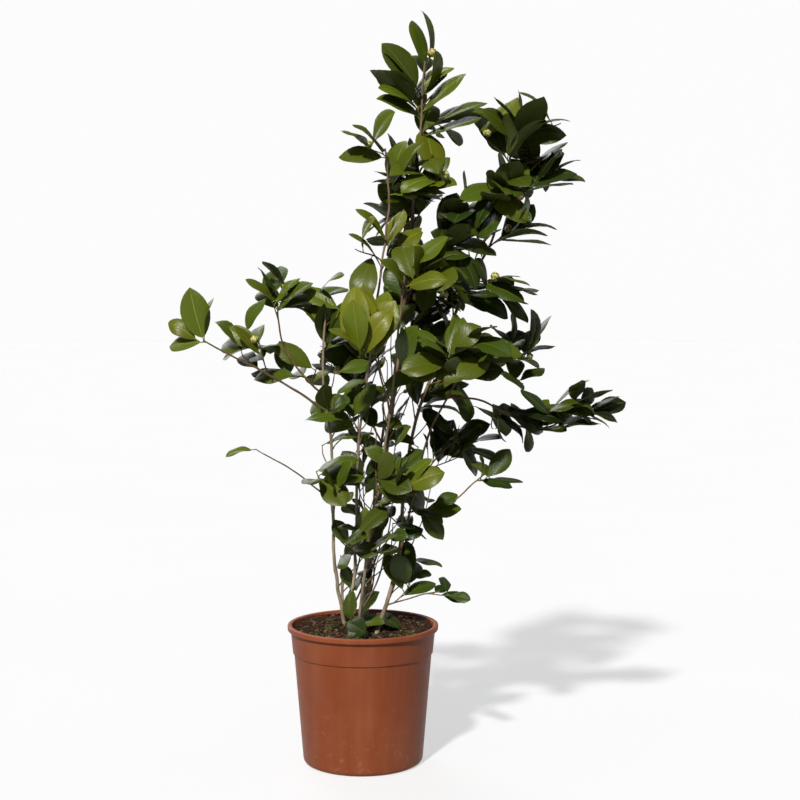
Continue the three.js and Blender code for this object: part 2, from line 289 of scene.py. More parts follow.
def tube(points, radii, sides, relief=None):
    """A closed tube round a line of points. relief(index, angle) multiplies the radius there."""
    line = [Vector(point) for point in points]
    side = None
    rings = []
    for index, centre in enumerate(line):
        ahead = line[min(index + 1, len(line) - 1)]
        behind = line[max(index - 1, 0)]
        tangent = (ahead - behind).normalized()
        side = across(tangent)[0] if side is None else (side - tangent * side.dot(tangent)).normalized()
        other = tangent.cross(side)
        for angle in around(sides):
            reach = radii[index] * (relief(index, angle) if relief else 1)
            rings.append(centre + swung(side, other, angle) * reach)
    faces = bands(len(line), sides)
    last = (len(line) - 1) * sides
    faces.append(tuple(reversed(range(sides))))
    faces.append(tuple(last + corner for corner in range(sides)))
    return rings, faces


# ---------------------------------------------------------------- limbs read from the frame


def spline(knots, spacing):
    """Points along a Catmull-Rom curve through the knots, each a vector of any length, evenly spaced."""
    knots = np.array(knots, float)
    padded = np.vstack([2 * knots[0] - knots[1], knots, 2 * knots[-1] - knots[-2]])
    fine = []
    for index in range(1, len(padded) - 2):
        before, start, end, after = padded[index - 1 : index + 3]
        for t in np.linspace(0, 1, 24, endpoint=False):
            fine.append(
                0.5
                * (
                    2 * start
                    + (end - before) * t
                    + (2 * before - 5 * start + 4 * end - after) * t**2
                    + (3 * start - before - 3 * end + after) * t**3
                )
            )
    fine = np.array([*fine, knots[-1]])
    steps = np.linalg.norm(np.diff(fine[:, :3], axis=0), axis=1)
    run = np.concatenate([[0], np.cumsum(steps)])
    count = max(2, round(run[-1] / spacing) + 1)
    wanted = np.linspace(0, run[-1], count)
    return np.column_stack([np.interp(wanted, run, column) for column in fine.T])


def drift(spot):
    """A smooth random vector for a place. noise.noise_vector would differ from run to run."""
    return Vector([noise.noise(spot + Vector((17.3 * axis, 5.1 * axis, 9.7))) for axis in range(3)])


class Limb:
    """A stem's or bough's centre line and radius, from its foot to its tip."""

    def __init__(self, name, rings):
        samples = spline([[*centre, radius] for centre, radius in rings], LIMB_SPACING)
        self.name = name
        for index, sample in enumerate(samples):
            fade = min(1, index / 8, (len(samples) - 1 - index) / 8)
            spot = Vector(sample[:3]) * CROOK_SCALE
            sample[:3] += np.array(drift(spot)) * CROOK * fade
        self.points = samples[:, :3]
        self.radii = samples[:, 3]
        self.tangents = np.gradient(self.points, axis=0)
        self.tangents /= np.linalg.norm(self.tangents, axis=1)[:, None]


def rings_of(node):
    """The rings of a limb's solid as (centre, radius), in no order."""
    corners = [vertex.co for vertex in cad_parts[node].data.vertices]
    left = np.unique(np.round(np.array(corners), 6), axis=0)
    rings = []
    while len(left):
        here = np.linalg.norm(left - left[0], axis=1) < RING_REACH
        centre = left[here].mean(axis=0)
        rings.append((centre, np.linalg.norm(left[here] - centre, axis=1).max()))
        left = left[~here]
    return rings


def in_order(rings, start):
    """The rings from the one nearest to start, each followed by its nearest neighbour."""
    ordered, here, left = [], start, list(rings)
    while left:
        nearest = min(left, key=lambda ring: np.linalg.norm(ring[0] - here))
        left = [ring for ring in left if ring is not nearest]
        ordered.append(nearest)
        here = nearest[0]
    return ordered


def nearest_on(limbs, point):
    """(distance, limb, sample) of the nearest point of the limbs' centre lines."""
    best = (1e9, None, 0)
    for limb in limbs:
        gaps = np.linalg.norm(limb.points - point, axis=1)
        sample = int(gaps.argmin())
        if gaps[sample] < best[0]:
            best = (gaps[sample], limb, sample)
    return best


def read_limbs():
    limbs = {}
    for name in STEMS:
        rings = rings_of(name)
        lowest = min(rings, key=lambda ring: ring[0][2])
        limbs[name] = Limb(name, in_order(rings, lowest[0]))
    waiting = {name: rings_of(name) for name in BOUGHS}
    while waiting:
        known = list(limbs.values())
        joints = {
            name: min((nearest_on(known, ring[0])[0], index) for index, ring in enumerate(rings))
            for name, rings in waiting.items()
        }
        name = min(joints, key=lambda key: joints[key][0])
        rings = waiting.pop(name)
        foot = rings[joints[name][1]][0]
        _, parent, sample = nearest_on(known, foot)
        ordered = in_order(rings, foot)
        radius = ordered[1][1] * 1.15
        ordered[0] = (ordered[0][0], radius)
        limbs[name] = Limb(name, [(parent.points[sample], radius * 1.1), *ordered])
    return limbs


LIMBS = read_limbs()
LIMB_LIST = list(LIMBS.values())

# ---------------------------------------------------------------- materials


def linear(red, green, blue):
    """An sRGB colour in 0 to 255 as linear RGBA."""
    values = []
    for value in (red, green, blue):
        share = value / 255
        values.append(share / 12.92 if share <= 0.04045 else ((share + 0.055) / 1.055) ** 2.4)
    return (*values, 1)


class Surface:
    """A Principled material under construction."""

    def __init__(self, name, roughness, specular=0.5):
        self.material = bpy.data.materials.new(name)
        self.material.use_nodes = True
        self.tree = self.material.node_tree
        self.shader = self.tree.nodes["Principled BSDF"]
        self.shader.inputs["Roughness"].default_value = roughness
        self.shader.inputs["Specular IOR Level"].default_value = specular

    def node(self, kind, **settings):
        made = self.tree.nodes.new(kind)
        for key, value in settings.items():
            if key in made.inputs:
                made.inputs[key].default_value = value
            else:
                setattr(made, key, value)
        return made

    def link(self, source, target):
        self.tree.links.new(source, target)

    def place(self, stretch=(1, 1, 1)):
        """Object coordinates, stretched."""
        coordinates = self.node("ShaderNodeTexCoord")
        mapping = self.node("ShaderNodeMapping")
        mapping.inputs["Scale"].default_value = stretch
        self.link(coordinates.outputs["Object"], mapping.inputs["Vector"])
        return mapping.outputs["Vector"]

    def noise(self, scale, detail=3, stretch=(1, 1, 1), roughness=0.55):
        made = self.node("ShaderNodeTexNoise", Scale=scale, Detail=detail, Roughness=roughness)
        self.link(self.place(stretch), made.inputs["Vector"])
        return made.outputs["Fac"]

    def ramp(self, source, stops):
        made = self.node("ShaderNodeValToRGB")
        elements = made.color_ramp.elements
        while len(elements) < len(stops):
            elements.new(0.5)
        for element, (position, colour) in zip(elements, stops):
            element.position = position
            element.color = colour
        self.link(source, made.inputs["Fac"])
        return made.outputs["Color"]

    def feed(self, sockets, values):
        """Give each socket its value, or a link where the value is another node's output."""
        for socket, value in zip(sockets, values):
            if isinstance(value, bpy.types.NodeSocket):
                self.link(value, socket)
            else:
                socket.default_value = value

    def mixed(self, amount, first, second, blend="MIX"):
        made = self.node("ShaderNodeMix", data_type="RGBA", blend_type=blend)
        self.feed((made.inputs[0], made.inputs[6], made.inputs[7]), (amount, first, second))
        return made.outputs[2]

    def maths(self, operation, first, second=0.0):
        made = self.node("ShaderNodeMath", operation=operation)
        self.feed(made.inputs, (first, second))
        return made.outputs[0]

    def climb(self, start, end, most=1.0):
        """0 at the starting height, rising to the most at the end."""
        parts = self.node("ShaderNodeSeparateXYZ")
        self.link(self.place(), parts.inputs["Vector"])
        made = self.node("ShaderNodeMapRange", **{"From Min": start, "From Max": end, "To Max": most})
        self.link(parts.outputs["Z"], made.inputs["Value"])
        return made.outputs["Result"]

    def colour(self, source):
        self.link(source, self.shader.inputs["Base Color"])

    def roughness(self, source, low, high):
        made = self.node("ShaderNodeMapRange", **{"To Min": low, "To Max": high})
        self.link(source, made.inputs["Value"])
        self.link(made.outputs["Result"], self.shader.inputs["Roughness"])

    def bump(self, height, distance, strength=1.0):
        made = self.node("ShaderNodeBump", Strength=strength, Distance=distance)
        self.link(height, made.inputs["Height"])
        self.link(made.outputs["Normal"], self.shader.inputs["Normal"])


def veins(surface):
    """Side veins that sweep forward from the midrib, from 0 between them to 1 on them."""
    uv = surface.node("ShaderNodeUVMap", uv_map="Blade")
    parts = surface.node("ShaderNodeSeparateXYZ")
    surface.link(uv.outputs["UV"], parts.inputs["Vector"])
    offset = surface.maths("ABSOLUTE", surface.maths("SUBTRACT", parts.outputs["X"], 0.5))
    phase = surface.maths("SUBTRACT", parts.outputs["Y"], surface.maths("MULTIPLY", offset, VEIN_SWEEP))
    wave = surface.maths("SINE", surface.maths("MULTIPLY", phase, 2 * math.pi * VEIN_PAIRS))
    return surface.maths("POWER", surface.maths("MAXIMUM", wave, 0), 5.0)


def plain(name, colour, roughness, specular):
    """A surface in one colour, for the joined pieces: these vary from spray to spray, not by a pattern."""
    surface = Surface(name, roughness, specular)
    surface.shader.inputs["Base Color"].default_value = colour
    return surface


def leaf_top(name, colour):
    surface = plain(name, colour, 0.42, LEAF_GLOSS)
    surface.roughness(surface.noise(120, 2), *LEAF_ROUGHNESS)
    surface.bump(surface.maths("SUBTRACT", surface.noise(300, 2), veins(surface)), 0.3 * MM, 0.4)
    return surface.material


def leaf_underside():
    surface = plain("leaf_underside", linear(90, 101, 50), 0.6, 0.2)
    surface.roughness(surface.noise(150, 2), 0.5, 0.7)
    surface.bump(surface.maths("ADD", surface.noise(350, 2), veins(surface)), 0.3 * MM, 0.5)
    return surface.material


def midrib(name, colour):
    surface = plain(name, colour, 0.5, 0.25)
    surface.roughness(surface.noise(200, 2), 0.4, 0.6)
    surface.bump(surface.noise(500, 2), 0.15 * MM, 0.4)
    return surface.material


def twig_bark(name, colour):
    surface = plain(name, colour, 0.75, 0.2)
    streaks = surface.noise(380, 5, stretch=(1, 1, 0.25))
    surface.roughness(streaks, 0.6, 0.9)
    surface.bump(streaks, 0.4 * MM, 0.8)
    return surface.material


def bark(name, dark, mid, pale, grain):
    """Streaked bark, pale at the foot and browner where the wood is younger."""
    surface = Surface(name, roughness=0.8, specular=0.2)
    streaks = surface.noise(90, 5, stretch=(1, 1, 0.12))
    tone = surface.ramp(streaks, [(0.28, dark), (0.5, mid), (0.72, pale)])
    patches = surface.ramp(surface.noise(28, 3), [(0.35, dark), (0.6, pale)])
    youth = surface.climb(BARK_PALE_TOP, BARK_BROWN_FROM, 0.8)
    wood = surface.mixed(0.35, tone, patches)
    surface.colour(surface.mixed(youth, wood, YOUNG_WOOD, "MULTIPLY"))
    surface.roughness(streaks, 0.65, 0.9)
    surface.bump(surface.noise(grain, 5, stretch=(1, 1, 0.25)), 0.5 * MM, 0.8)
    return surface.material


def bud_scale(name, colour):
    surface = plain(name, colour, 0.35, 0.6)
    surface.roughness(surface.noise(260, 2), 0.25, 0.45)
    surface.bump(surface.noise(600, 3), 0.2 * MM, 0.4)
    return surface.material


def terracotta_plastic():
    """Dull orange-brown plastic with faint upright streaks, and pale dust towards the foot."""
    surface = Surface("terracotta_plastic", roughness=0.5, specular=0.22)
    body = surface.ramp(
        surface.noise(9, 4),
        [(0.3, linear(134, 66, 36)), (0.5, linear(142, 71, 40)), (0.72, linear(149, 79, 47))],
    )
    streaks = surface.ramp(
        surface.noise(34, 4, stretch=(1, 1, 0.08)),
        [(0.42, (0, 0, 0, 1)), (0.75, (0.16, 0.16, 0.16, 1))],
    )
    streaked = surface.mixed(streaks, body, linear(190, 128, 100))
    specks = surface.maths("SUBTRACT", surface.noise(70, 6, roughness=0.7), 0.56)
    low_down = surface.climb(DUST_TOP, DUST_FULL)
    dust = surface.maths("MULTIPLY", low_down, surface.maths("MAXIMUM", specks, 0.0))
    surface.colour(surface.mixed(surface.maths("MULTIPLY", dust, 1.3), streaked, linear(205, 180, 155)))
    surface.roughness(surface.noise(40, 4), 0.42, 0.6)
    surface.bump(surface.noise(260, 4), 0.25 * MM, 0.35)
    return surface.material


def compost():
    surface = Surface("compost", roughness=0.95, specular=0.1)
    stops = [(0.25, linear(20, 13, 9)), (0.5, linear(52, 35, 25)), (0.8, linear(84, 60, 42))]
    surface.colour(surface.ramp(surface.noise(150, 6), stops))
    surface.bump(surface.noise(260, 6), 2 * MM, 1.0)
    return surface.material


def crumb(name, colour, grain, depth):
    """Rough stuff that lies on the compost: bark chips and moss."""
    surface = plain(name, colour, 0.92, 0.15)
    coarse = surface.noise(grain, 4, stretch=(1, 0.3, 1))
    surface.roughness(coarse, 0.8, 1.0)
    surface.bump(coarse, depth, 0.9)
    return surface.material


def stump_wood():
    surface = Surface("stump_wood", roughness=0.9, specular=0.2)
    stops = [(0.3, linear(84, 86, 66)), (0.55, linear(122, 128, 104)), (0.8, linear(158, 162, 140))]
    surface.colour(surface.ramp(surface.noise(130, 5), stops))
    surface.bump(surface.noise(400, 5), 0.8 * MM, 0.9)
    return surface.material


# Leaf colours from the lightest to the darkest. shade_rule deals them out as painted light and shade:
# lighter towards the lit side and the top, darker behind and on the right, where "shadow" is painted shade.
SHADES = {
    "bright": (108, 116, 25),
    "fresh": (91, 102, 21),
    "mid": (77, 90, 18),
    "deep": (60, 74, 16),
    "dark": (42, 56, 14),
    "shadow": (26, 37, 10),
}
TINTS = {"olive": (1.03, 1.0, 0.95), "green": (0.95, 1.0, 1.0)}  # times a shade's red, green and blue


def leaf_tops():
    """One material for each shade in each tint, from the lightest shade on: painted lit and shaded copies
    of the leaf's colour.
    """
    tops = []
    for shade, colour in SHADES.items():
        for tint, shares in TINTS.items():
            tinted = linear(*(value * share for value, share in zip(colour, shares)))
            tops.append(leaf_top(f"leaf_{shade}_{tint}", tinted))
    return tops


LEAF_MATERIALS = leaf_tops()
UNDERSIDE_SLOT = len(LEAF_MATERIALS)
LIT_RIB_SLOT = UNDERSIDE_SLOT + 1
SHADED_RIB_SLOT = LIT_RIB_SLOT + 1
LIGHT_TONES = 2 * len(TINTS)  # the blades in the two lightest painted shades have the lit rib, the rest the shaded one
# The midrib is paler than its blade; its two colours are lit and shaded copies that follow the blade's
# painted light and shade.
LEAF_MATERIALS += [
    leaf_underside(),
    midrib("rib_light", linear(131, 140, 50)),
    midrib("rib_dark", linear(85, 99, 32)),
]

# ---------------------------------------------------------------- bark


def bark_relief(limb, seed):
    """Relief of a limb's bark: long ridges, swollen nodes with a scar on one side, and a flared foot."""
    rng = random.Random(seed)
    length = len(limb.points) * LIMB_SPACING
    knots = []
    at = rng.uniform(*NODE_SPACING)
    while at < length:
        knots.append((at / LIMB_SPACING, rng.uniform(0, FULL_TURN), rng.uniform(0.08, 0.2)))
        at += rng.uniform(*NODE_SPACING)
    flare = 0.3 if limb.name in STEMS else 0.12

    def relief(index, angle):
        ridges = noise.noise(Vector((2.2 * math.cos(angle), 2.2 * math.sin(angle), index * 0.09 + seed)))
        lumps = noise.noise(Vector((1.1 * math.cos(angle), 1.1 * math.sin(angle), index * 0.22 - seed)))
        swell = 1 + 0.13 * ridges + 0.09 * lumps + flare * math.exp(-index / 3)
        for place, facing, size in knots:
            away = abs(index - place)
            if away < 4:
                towards = max(0, math.cos(angle - facing)) ** 2
                swell += size * math.exp(-((away / 1.1) ** 2)) * (0.45 + 1.2 * towards)
        return swell

    return relief


def make_bark():
    old = bark("bark_old", linear(102, 84, 66), linear(160, 143, 120), linear(200, 186, 163), 240)
    young = bark("bark_young", linear(80, 60, 42), linear(122, 102, 72), linear(156, 138, 104), 300)
    for seed, limb in enumerate(LIMB_LIST, start=1):
        points, radii = limb.points, limb.radii
        if limb.name in STEMS:
            below = points[0] - np.array([0, 0, 6 * MM])
            points = np.vstack([below, points])
            radii = np.concatenate([[radii[0] * 1.1], radii])
        shape = tube(points, radii, BARK_SIDES, bark_relief(limb, seed))
        is_stem = limb.name in STEMS
        piece = single(f"bark_{limb.name}", *shape, old if is_stem else young)
        finish_piece(piece, "stem_bark" if is_stem else "bough_bark", limb.name)


# ---------------------------------------------------------------- growth


class Mass:
    """The room of one leaf mass, as the frame's solid gives it."""

    def __init__(self, name):
        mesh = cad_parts[name].data
        corners = [vertex.co.copy() for vertex in mesh.vertices]
        faces = [tuple(face.vertices) for face in mesh.polygons]
        self.name = name
        self.tree = BVHTree.FromPolygons(corners, faces)
        self.volume = sum(
            corners[face[0]].dot(corners[face[k]].cross(corners[face[k + 1]])) / 6
            for face in faces
            for k in range(1, len(face) - 1)
        )
        self.low, self.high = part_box(name)
        self.centre = (self.low + self.high) / 2
        word = name.removeprefix("leaves_")
        density = "dense"
        for label, words in (("loose", LOOSE), ("open", OPEN), ("sparse", SPARSE)):
            if word in words.split():
                density = label
        self.wanted = max(1, round(abs(self.volume) / VOLUME_PER_LEAF / OPENNESS[density]))
        height = (self.centre.z - LOW_LEVEL) / (HIGH_LEVEL - LOW_LEVEL)
        scale = LOW_SHARE + (1 - LOW_SHARE) * min(1, max(0, height))
        self.usual_leaf = scale * min(LARGE_LEAF, max(SMALL_LEAF, 1.25 * abs(self.volume) ** (1 / 3)))
        self.usual_leaf = GRAND.get(word, self.usual_leaf)

    def outside(self, point):
        """How far a point lies outside the solid; negative inside."""
        spot, normal, _, distance = self.tree.find_nearest(point)
        return distance if (point - spot).dot(normal) > 0 else -distance

    def spot_inside(self, rng, depth, allowed=lambda spot: True):
        """A random place at least so deep in the solid, or the middle if there is none."""
        for _ in range(60):
            spot = Vector([rng.uniform(self.low[axis], self.high[axis]) for axis in range(3)])
            if self.outside(spot) < -depth and allowed(spot):
                return spot
        return self.centre.copy()


class Shoot:
    """A twig: a curve from a limb into a mass, with the radius at both ends."""

    def __init__(self, start, leaving, tip, arriving, foot_radius, tip_radius, crook=0.0):
        span = (tip - start).length
        leave, arrive = leaving * span * SHOOT_HANDLE, arriving * span * SHOOT_HANDLE
        handles = [start, start + leave, tip - arrive, tip]
        count = max(4, round(span / SHOOT_STEP))
        self.points = []
        for step in range(count + 1):
            t = step / count
            weights = ((1 - t) ** 3, 3 * t * (1 - t) ** 2, 3 * t * t * (1 - t), t**3)
            point = sum((h * w for h, w in zip(handles, weights)), Vector())
            wander = drift(point * TWIG_CROOK_SCALE) * crook * math.sin(math.pi * t)
            self.points.append(point + wander)
        self.radii = [foot_radius + (tip_radius - foot_radius) * step / count for step in range(count + 1)]

    def from_tip(self, distance):
        """(point, tangent, radius) at a distance back from the tip, or None past the foot."""
        for index in range(len(self.points) - 1, 0, -1):
            ahead, behind = self.points[index], self.points[index - 1]
            step = (ahead - behind).length
            if distance <= step:
                share = distance / step
                return ahead.lerp(behind, share), (ahead - behind).normalized(), self.radii[index]
            distance -= step
        return None


class Leaf:
    """One leaf's place, size, tone and the random part of its form."""

    def __init__(self, base, along, normal, length, width, tone, rng):
        self.base, self.length, self.width, self.tone = base, length, width, tone
        self.along = along
        self.normal = (normal - along * normal.dot(along)).normalized()
        self.side = self.along.cross(self.normal)
        self.belly = rng.uniform(*LEAF_BELLY)
        self.fold = math.radians(rng.uniform(*LEAF_FOLD))
        self.curl = math.radians(rng.triangular(*LEAF_CURL))
        self.twist = math.radians(rng.uniform(-LEAF_TURN, LEAF_TURN))
        self.bow = math.radians(rng.uniform(-LEAF_TURN, LEAF_TURN))
        self.ripple = rng.uniform(*LEAF_RIPPLE) * MM
        self.phase = rng.uniform(0, FULL_TURN)

    def probes(self):
        """Points over the blade, for keeping blades apart."""
        spots = []
        for share, offset in ((0.3, 0), (0.55, 0), (0.55, 0.3), (0.55, -0.3), (0.8, 0), (0.95, 0)):
            drop = self.length * 0.3 * self.curl * share**2.5
            spots.append(
                self.base
                + self.along * self.length * share
                + self.side * self.width * offset
                - self.normal * drop
            )
        return spots


def blade_width(share, belly):
    """Half-width of a blade as a share of its widest; a larger belly lies nearer the tip."""
    body = math.sin(math.pi * share**belly) ** 0.68
    return body * (1 - 0.26 * math.exp(-(((1 - share) / 0.09) ** 2)))


def leaf_stations(leaf):
    """The blade's cross-sections from its foot to its tip: (share, centre, across, face, half-width)."""
    along, face = leaf.along.copy(), leaf.normal.copy()
    centre = leaf.base + along * PETIOLE
    share = 0.0
    for station in range(LEAF_STATIONS):
        even = station / (LEAF_STATIONS - 1)
        ahead = 0.45 * even + 0.55 * 0.5 * (1 - math.cos(math.pi * even))
        step = ahead - share
        side = along.cross(face)
        droop = Matrix.Rotation(-leaf.curl * step * (0.3 + 2.1 * share**2), 3, side)
        sweep = Matrix.Rotation(leaf.bow * step, 3, face)
        along, face = sweep @ droop @ along, droop @ face
        centre = centre + along * leaf.length * step
        share = ahead
        turn = Matrix.Rotation(leaf.twist * share, 3, along)
        half = leaf.width / 2 * blade_width(share, leaf.belly)
        yield share, centre, turn @ along.cross(face), turn @ face, half


def blade_rows(leaf, stations):
    """Points and UVs of a blade, and the corners of each cross-section above and below."""
    points, uvs = [stations[0][1], stations[-1][1]], [(0.5, 0), (0.5, 1)]
    upper_rows, lower_rows = [], []
    for share, centre, side, face, half in stations[1:-1]:
        upper, lower = [], []
        fold = leaf.fold * (1 - 0.45 * share)
        for column in LEAF_COLUMNS:
            out = abs(column)
            rise = half * out * math.sin(fold) - 0.2 * half * out**3
            phase = 3 * math.pi * share + leaf.phase + (1.3 if column > 0 else 0)
            wave = leaf.ripple * out**2 * math.sin(phase)
            spot = centre + side * half * column * math.cos(fold) + face * (rise + wave)
            upper.append(len(points))
            points.append(spot)
            uvs.append((0.5 + 0.5 * column, share))
            if out < 1:
                lower.append(len(points))
                points.append(spot - face * LEAF_THICKNESS)
                uvs.append(uvs[-1])
            else:
                lower.append(upper[-1])
        upper_rows.append(upper)
        lower_rows.append(lower)
    return points, uvs, upper_rows, lower_rows


def blade_skin(rows, flip, blade_slot, rib_slot):
    """Faces and slots of one side of a blade: between its rows, then the fans at its foot and tip."""
    spans = range(len(LEAF_COLUMNS) - 1)
    faces = []
    for row, ahead in zip(rows, rows[1:]):
        faces += [(row[span], row[span + 1], ahead[span + 1], ahead[span]) for span in spans]
    faces += [(BLADE_FOOT, rows[0][span + 1], rows[0][span]) for span in spans]
    faces += [(rows[-1][span], rows[-1][span + 1], BLADE_TIP) for span in spans]
    rib_span = len(LEAF_COLUMNS) // 2 - 1
    slots = [rib_slot if span == rib_span else blade_slot for span in spans] * (len(rows) + 1)
    return [face[::-1] for face in faces] if flip else faces, slots


def leaf_shape(leaf):
    """Points, faces, slots and UVs of a leaf: a closed blade, and the stalk and rib below it."""
    rib_slot = LIT_RIB_SLOT if leaf.tone < LIGHT_TONES else SHADED_RIB_SLOT
    stations = list(leaf_stations(leaf))
    points, uvs, upper_rows, lower_rows = blade_rows(leaf, stations)
    faces, slots = blade_skin(upper_rows, False, leaf.tone, rib_slot)
    lower_faces, lower_slots = blade_skin(lower_rows, True, UNDERSIDE_SLOT, rib_slot)
    foot = stations[0][1]
    rib = [centre - face * LEAF_THICKNESS for _, centre, _, face, _ in stations[1:-1]]
    stalk = [leaf.base, leaf.base.lerp(foot, 0.5), foot, *rib[1:-2:2]]
    thick, thin = STALK_RADIUS
    radii = [thick - (thick - thin) * index / (len(stalk) - 1) for index in range(len(stalk))]
    stalk_points, stalk_faces = tube(stalk, radii, STALK_SIDES)
    faces += lower_faces
    faces += [tuple(len(points) + corner for corner in face) for face in stalk_faces]
    slots += lower_slots + [rib_slot] * len(stalk_faces)
    points += stalk_points
    uvs += [(0.5, 0.5)] * len(stalk_points)
    return points, faces, slots, uvs


def light_normal(base, along, rng):
    """The way a blade faces: up, outward from the crown and towards the light."""
    outward = Vector((base.x - CROWN_AXIS.x, base.y - CROWN_AXIS.y, 0))
    outward = outward.normalized() if outward.length > 1e-6 else -Vector((0, 1, 0))
    stray = Vector([rng.uniform(-1, 1) for _ in range(3)])
    shaded = min(1, max(0, (base.x - CROWN_AXIS.x) / SHADED_REACH))
    facing = UP * (0.3 + 0.35 * shaded) + outward * 0.3 + SUN_FROM * (0.8 - 0.35 * shaded) + stray * 0.38
    if abs(facing.normalized().dot(along)) > 0.93:
        facing += across(along)[0]
    return facing


def leaves_box(leaf):
    """Whether a leaf reaches too far out of the CAD model's box."""
    low, high = CAD_BOX
    return any(
        not low[axis] - BOX_MARGIN < spot[axis] < high[axis] + BOX_MARGIN
        for spot in leaf.probes()
        for axis in range(3)
    )


def stray(mass, leaf):
    """How far a blade leaves its mass and that one's neighbours, summed over its probes."""
    total = 0.0
    for spot in leaf.probes():
        away = mass.outside(spot) - OVERHANG
        if away > 0:
            total += min([away, *(max(0.0, other.outside(spot)) for other in mass.neighbours)])
    return total


class Foliage:
    """All shoots, leaves and buds, grown mass by mass."""

    def __init__(self, seed):
        self.seed = seed
        self.masses = [Mass(name) for name in MASSES]
        self.shoots, self.buds, self.leaves = [], [], {}
        self.taken = np.empty((MOST_SPOTS, 3))  # the kept blades' probes, of which count are filled in
        self.count = 0
        self.origins = []

    def deal(self, name):
        """Start the random draws afresh for one part of the plant."""
        self.rng = random.Random(f"{name} {self.seed}")
        self.tint_rng = random.Random(f"{name} tint {self.seed}")

    def gap_to_blades(self, spots):
        """The distance from any of the spots to the nearest blade."""
        if not self.count:
            return 1.0
        taken = self.taken[: self.count]
        return float(np.sqrt(((taken[None] - np.array(spots)[:, None]) ** 2).sum(axis=2).min()))

    def keep(self, tier, leaf):
        self.leaves.setdefault(tier, []).append(leaf)
        spots = np.array(leaf.probes())
        self.taken[self.count : self.count + len(spots)] = spots
        self.count += len(spots)

    def origin(self, target):
        """The limb point that a shoot to the target leaves from: close, below it and not yet used."""
        best = None
        goal = np.array(target)
        for limb in LIMB_LIST:
            start = 10 if limb.name in STEMS else 4
            away = goal - limb.points[start:]
            gap = np.linalg.norm(away, axis=1)
            forward = (away * limb.tangents[start:]).sum(axis=1) / np.maximum(gap, 1e-6)
            cost = np.abs(gap - SHOOT_REACH) + BACKWARD_COST * (1 - forward)
            for used in self.origins:
                near = np.linalg.norm(limb.points[start:] - used, axis=1)
                cost += np.where(near < SHOOT_SPACING, CROWDED_COST, 0)
            sample = int(cost.argmin())
            if best is None or cost[sample] < best[0]:
                best = (cost[sample], limb, start + sample)
        _, limb, sample = best
        self.origins.append(limb.points[sample])
        return limb, sample

    def grow_shoot(self, target):
        """A shoot from the fitting limb to the target, rising and turning outward on the way."""
        limb, sample = self.origin(target)
        start = Vector(limb.points[sample])
        tangent = Vector(limb.tangents[sample])
        heading = (target - start).normalized()
        outward = (target - Vector((CROWN_AXIS.x, CROWN_AXIS.y, target.z))).normalized()
        leaving = (tangent * 0.6 + heading * 0.8).normalized()
        arriving = (heading * 0.8 + UP * 0.3 + outward * 0.3).normalized()
        foot_radius = min(1.5 * MM, limb.radii[sample] * 0.8)
        shoot = Shoot(start, leaving, target, arriving, foot_radius, 0.85 * MM)
        self.shoots.append(shoot)
        return shoot

    def leaf_through(self, mass, shoot, goal, shade):
        """A leaf from near the shoot's tip whose blade fills the goal, with its score, or None."""
        rng = self.rng
        spot = shoot.from_tip(min(rng.expovariate(1 / LEAF_RUN), FARTHEST_LEAF))
        if spot is None:
            return None
        point, tangent, _ = spot
        span = (goal - point).length
        if span < 1 * MM:
            return None
        along = (goal - point) / span
        lean = tangent.angle(along)
        wanted = span / GOAL_AT - PETIOLE
        length = mass.usual_leaf * rng.triangular(*LEAF_SPREAD)
        if lean > MOST_LEAN or not LEAF_STRETCH[0] * length < wanted < LEAF_STRETCH[1] * length:
            return None
        width = length * rng.uniform(*LEAF_SHARE)
        leaf = Leaf(point, along, light_normal(point, along, rng), length, width, shade(), rng)
        gap = self.gap_to_blades(leaf.probes())
        if gap < LEAF_CLEARANCE or leaves_box(leaf):
            return None
        score = min(gap, 18 * MM) + 0.15 * length - 2 * stray(mass, leaf)
        score -= 8 * MM * abs(lean - USUAL_LEAN) + 0.3 * abs(mass.outside(leaf.probes()[-1]))
        if point.z < HIGH_LEVEL:
            score -= UPRIGHT_COST * max(0, along.z - 0.25)
        return score, leaf

    def grow_leaves(self, mass, shoots, shades):
        """Fill the mass's empty places one by one, each with the best of some leaves tried for it."""
        rng = self.rng
        grown = 0
        for _ in range(mass.wanted * TRIES_PER_LEAF):
            if grown >= mass.wanted:
                break
            goal = mass.spot_inside(rng, 2 * MM)
            if self.gap_to_blades([goal]) < GOAL_CLEARANCE:
                continue
            best = None
            for _ in range(TRIES_PER_GOAL):
                index = rng.randrange(len(shoots))
                tried = self.leaf_through(mass, shoots[index], goal, shades[index])
                if tried and (best is None or tried[0] > best[0]):
                    best = tried
            if best and (best[0] > WORST_SCORE or grown < SURE_LEAVES):
                self.keep(tier_of(mass.name), best[1])
                grown += 1

    def grow_mass(self, mass):
        """Shoots into one mass, towards the side where it hangs on its limb, then their leaves and buds."""
        rng = self.rng
        _, limb, sample = nearest_on(LIMB_LIST, np.array(mass.centre))
        inwards = mass.centre - Vector(limb.points[sample])
        out = inwards.normalized() + UP * 0.6 if inwards.length > 12 * MM else UP
        # Painted light and shade: the nearer the mass lies to the lit left, front and top, the lighter its
        # leaves, and the further right, the darker.
        away = mass.centre - CROWN_MIDDLE
        sunny = away.dot(PAINTED_SUN_SIDE) - PAINTED_SHADE_RIGHT * max(0, away.x)
        # Painted light: this mass's leaves take the lightest shades.
        if mass.name.endswith(SUNNIEST_MASS):
            sunny = MIDDLE_SHADE
        targets, shoots, shades = [], [], []

        def inner(spot):
            return (spot - mass.centre).dot(out) < 6 * MM

        def to_nearest(spot):
            return min([1, *((spot - old).length for old in targets)])

